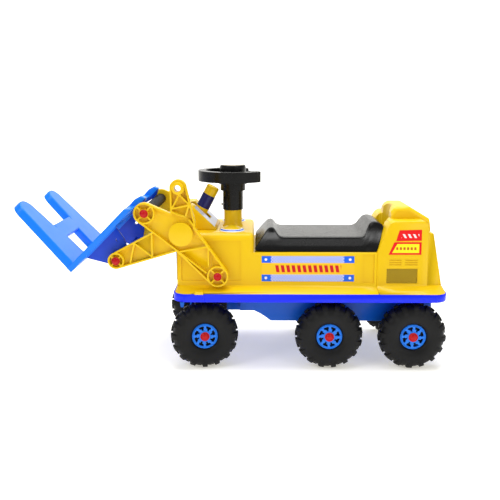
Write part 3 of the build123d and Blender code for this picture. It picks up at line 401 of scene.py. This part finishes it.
# ---- Caps and rods ----------------------------------------------------------------------------------------
# Drawn steel rods carry the wheels, the arms and the fork. A red plastic cap is pushed over each end and
# holds the wheel or the arm on.
red = plastic("cap_red", (0.5, 0.001, 0.003), 0.34)
steel = Finish("rod_steel", (0.55, 0.55, 0.57), 0.3, Metallic=1.0)
steel.feed("Roughness", steel.ramp(steel.noise(200.0), 0.22, 0.4))
for node, solid in frame["nodes"].items():
    if node.endswith("_caps"):
        red.cover(solid)
    elif node.endswith(("_axle", "_rod", "_shaft", "_pin", "kingpin", "_clip", "screws", "_screw")):
        steel.cover(solid)

# ---- Loader arms ------------------------------------------------------------------------------------------
# Two yellow mouldings, open on their outer side, with ribs round and across every pocket. They turn on the
# lift shaft, and the left one carries the tower. The cap over each rod's end keeps them in place.
# The narrow head of the tower holds only a finer round, so the arms' rounds are kept from overlapping.
for side in ("left", "right"):
    arm = softened(f"loader_arm_{side}", "loader", 0.0006, merge=1e-4)
    arm.modifiers["rounded corners"].use_clamp_overlap = True
    yellow.cover(arm)

# ---- Fork -------------------------------------------------------------------------------------------------
# One blue moulding of two tines, a cross bar and a ribbed back plate. Two lugs hold it on the fork rod, and
# its two hooks rest on the cross roller. The ribbed side of the plate is coloured a deeper blue as painted
# shade.
fork_blue = plastic("fork_blue", (0.004, 0.21, 0.95), 0.32)
plate_lean, tine_lean = radians(45.3), radians(47.0)
plate_thick = 0.0125
pad_rise = 0.0002
fork_points = [v.co for v in frame["nodes"]["fork"].data.vertices]
heel = min(fork_points, key=lambda p: p.z)
behind_plate = Vector((sin(plate_lean), 0, -cos(plate_lean)))
face_at = min(p @ behind_plate for p in fork_points if p.x > heel.x + 0.06)
behind = fork_blue.axis("X") * behind_plate.x + fork_blue.axis("Z") * behind_plate.z - face_at
# Behind the plate's thickness the colour turns a deeper blue: painted shade on the ribbed side.
painted_shade_side = behind > plate_thick
blended = Value(fork_blue, fork_blue.shader.inputs["Base Color"].links[0].from_socket)
fork_blue.feed("Base Color", fork_blue.mix(painted_shade_side, blended, (0.002, 0.05, 0.55)))


def level_pads(form):
    """Lowers the slightly raised face of each tine into the tine, so that it reads as one surface."""
    up = Vector((sin(tine_lean), 0, cos(tine_lean)))
    top = max(v.co @ up for v in form.verts if v.co.x < heel.x - 0.06)
    for vert in form.verts:
        if vert.co.x < heel.x + 0.01 and top - pad_rise / 2 < vert.co @ up < top + pad_rise / 2:
            vert.co -= up * pad_rise


fork_blue.cover(softened("fork", "fork", 0.0012, settle=level_pads))

# ---- Seat lid ---------------------------------------------------------------------------------------------
# A thin black blow moulding with a satin gloss, with a pommel in front and a bump behind. It lies over the
# bin and opens about the hinge pin in front. It is lofted through stations, in millimetres.
gloss_black = plastic("gloss_black", (0.004, 0.004, 0.004), 0.27, 0.04, 0.0, 0.02, 0.25)
# Stations from front to rear: X at the lower edge, X at the top, and the height of the top.
stations = [(-3, -3, 224), (0, 2, 231), (4, 9, 240.5), (8, 14.5, 248), (12, 18.5, 253), (16, 22.5, 256.5),
            (20, 27, 258), (25, 31.5, 256.6), (29, 35, 253), (33, 38, 248.5), (37, 41.5, 244.5),
            (42, 46, 242.6), (48, 52, 242), (100, 104, 242), (150, 154, 242), (180, 186, 242),
            (190, 197, 242.6), (195, 202, 245.5), (198, 206, 251), (201, 209, 258), (204, 212.5, 263.5),
            (207, 217, 267), (210, 222, 267.8), (213, 228, 267), (216, 233, 265), (219, 236.5, 262.5),
            (221, 238.5, 259)]
# Heights, and half the lid's width at each.
lean_in = [(217.5, 87.5), (224, 86), (242, 71), (247, 63), (262, 52), (272, 44)]
lid_foot = 217.6
front_foot_lift = 2.0     # clears the deck as the lid swings open
front_foot_end = 9        # how far back the lifted foot reaches
corner_round = 3.5
skin = 0.0015


def seat_half(z):
    """Half the lid's width at a height."""
    for (z0, y0), (z1, y1) in zip(lean_in, lean_in[1:]):
        if z <= z1:
            return y0 + (y1 - y0) * (z - z0) / (z1 - z0)
    return lean_in[-1][1]


def seat_section(foot_x, top_x, top_z):
    """One half of a station, from its foot to the middle of the top."""
    foot = lid_foot + (front_foot_lift if foot_x < front_foot_end else 0.0)
    shoulder = top_z - corner_round
    flat = seat_half(shoulder) - corner_round
    levels = [foot + (shoulder - foot) * i / 6 for i in range(6)]
    half = [(seat_half(z), z) for z in levels]
    half += [(flat + corner_round * cos(radians(a)), shoulder + corner_round * sin(radians(a)))
             for a in (0, 22, 45, 68, 90)]
    half += [(flat * 0.85, top_z), (flat * 0.45, top_z), (0.0, top_z)]
    return [(foot_x + (top_x - foot_x) * (z - foot) / (top_z - foot), y, z) for y, z in half]


lid_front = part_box("seat_lid")[0].x
form = bmesh.new()
rows = []
for station in stations:
    near = seat_section(*station)
    loop = [(x, -y, z) for x, y, z in near] + [(x, y, z) for x, y, z in reversed(near[:-1])]
    rows.append([form.verts.new(((x + 3) / 1000 + lid_front, y / 1000, z / 1000)) for x, y, z in loop])
for ahead, after in zip(rows, rows[1:]):
    for i in range(len(ahead) - 1):
        form.faces.new((ahead[i], ahead[i + 1], after[i + 1], after[i]))
form.faces.new(rows[0])
form.faces.new(list(reversed(rows[-1])))
bmesh.ops.recalc_face_normals(form, faces=form.faces)
bmesh.ops.solidify(form, geom=form.faces, thickness=skin)
seat = shown(form, "seat_lid_moulding", "seat_lid", stands_for=["seat_lid"])
gloss_black.cover(seat)

# ---- Steering wheel and pod -------------------------------------------------------------------------------
# A thick glossy black ring on a sleeve, moulded in one, with four finger gaps and a round pod in the middle.
# It is pushed over the steel shaft and held by a set screw.
gloss_black.cover(softened("steering_wheel", "steering_column", 0.0022, 3))
gloss_black.cover(softened("wheel_pod", "steering_column", 0.0006))

# ---- Gear lever -------------------------------------------------------------------------------------------
# A short yellow cylinder with a dark printed band, clipped into the dash on a pin of its own.
yellow.cover(frame["nodes"]["gear_lever"])

# ---- Steering linkage and bin liner -----------------------------------------------------------------------
# Matt black mouldings under the hood and the seat: yoke, pitman arm, drag link, roller, bush and hinge ears.
# The bin is a plain dark blue liner dropped into the deck.
matt_black = plastic("matt_black", (0.006, 0.006, 0.007), 0.6, 0.08, 0.0, 0.02, 0.15)
for node in ("front_yoke", "pitman_arm", "drag_link", "cross_roller", "column_bush", "hinge_ears"):
    matt_black.cover(frame["nodes"][node])
liner_blue = plastic("liner_blue", (0.01, 0.03, 0.2), 0.55, 0.08, 0.0)
liner_blue.cover(frame["nodes"]["bin_liner"])

# ---- Grilles and labels -----------------------------------------------------------------------------------
# A blue slatted grille is clipped into the nose, and an olive mesh into each side at the back. The labels are
# printed vinyl stuck to the shells: plain bands, bars, dashes and dots, with no lettering.
grille_blue = plastic("grille_blue", (0.004, 0.015, 0.4), 0.4)
grille_blue.cover(frame["nodes"]["front_grille"])


def sheet(finish, node):
    """How far along and up a label a point is, each from 0 to 1."""
    low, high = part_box(node)
    along = (finish.axis("X") - low.x) / (high.x - low.x)
    up = (finish.axis("Z") - low.z) / (high.z - low.z)
    return along, up


def within(value, low, high):
    return (value > low) * (value < high)


def repeat(value, count):
    """A saw tooth from 0 to 1, so many times over the sheet."""
    return value.sum("FRACT", value * count)


mesh_olive = plastic("mesh_olive", (0.3, 0.2, 0.01), 0.6, 0.05, 0.0)
strands_per_metre = 260.0
shift = 9.0               # keeps the saw tooth above zero
slant_a = repeat(mesh_olive.axis("X") + mesh_olive.axis("Z") + shift, strands_per_metre) > 0.5
slant_b = repeat(mesh_olive.axis("X") - mesh_olive.axis("Z") + shift, strands_per_metre) > 0.5
woven = slant_a.sum("COMPARE", slant_a + slant_b, 1.0)
mesh_olive.feed("Base Color", mesh_olive.mix(woven, (0.62, 0.42, 0.01), (0.1, 0.06, 0.004)))
mesh_olive.cover(frame["nodes"]["mesh_grilles"])

side_print = plastic("side_print", (0.02, 0.13, 0.75), 0.35, 0.04, 0.2)
along, up = sheet(side_print, "side_labels")
bands = (up < 0.27) + (up > 0.73)
tiles = (repeat(along, 32.0) > 0.5) + (repeat(up, 8.6) > 0.5)
checks = tiles.sum("COMPARE", tiles, 1.0) * within(along, 0.1, 0.89)
blue_band = side_print.mix(checks * 0.9, (0.005, 0.12, 0.85), (0.9, 0.92, 1.0))
marks = (repeat(along + up * 0.05, 17.0) < 0.62) * within(along, 0.14, 0.86) * within(up, 0.36, 0.64)
amber_band = side_print.mix(marks, (0.95, 0.55, 0.01), (0.6, 0.0, 0.01))
printed = side_print.mix(bands, amber_band, blue_band)
# A pale dot near each corner.
for end in (0.045, 0.955):
    for level in (0.135, 0.865):
        gap = (along - end) * 3.6
        rise = up - level
        dot = (gap * gap + rise * rise) < 0.0028
        printed = side_print.mix(dot, printed, (0.85, 0.87, 0.9))
side_print.feed("Base Color", printed)
side_print.cover(frame["nodes"]["side_labels"])

red_print = plastic("red_print", (0.8, 0.004, 0.006), 0.35, 0.04, 0.2)
along, up = sheet(red_print, "rear_labels_upper")
stripe = within(repeat(along + up * 0.25, 5.0), 0.0, 0.45) * within(up, 0.28, 0.62) * within(along, 0.2, 0.9)
red_print.feed("Base Color", red_print.mix(stripe, (0.8, 0.004, 0.006), (0.85, 0.8, 0.8)))
red_print.cover(frame["nodes"]["rear_labels_upper"])

amber_print = plastic("amber_print", (0.95, 0.8, 0.01), 0.35, 0.04, 0.2)
along, up = sheet(amber_print, "rear_labels_lower")
inner = within(up, 0.14, 0.86) * (along - up * 0.22 > 0.07) * (along < 0.93)
dashes = (repeat(along, 9.0) < 0.6) * within(up, 0.38, 0.6) * within(along, 0.22, 0.86)
panel = amber_print.mix(dashes, (0.95, 0.85, 0.01), (0.6, 0.12, 0.005))
amber_print.feed("Base Color", amber_print.mix(inner, (0.8, 0.004, 0.006), panel))
amber_print.cover(frame["nodes"]["rear_labels_lower"])

for node, color in (("dash_label", (0.6, 0.65, 0.85)), ("pod_label", (0.9, 0.75, 0.5)),
                    ("lever_label", (0.004, 0.008, 0.12))):
    plastic(node + "_print", color, 0.35, 0.04, 0.2).cover(frame["nodes"][node])

# ---- Size of the finished model ---------------------------------------------------------------------------
low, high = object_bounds()
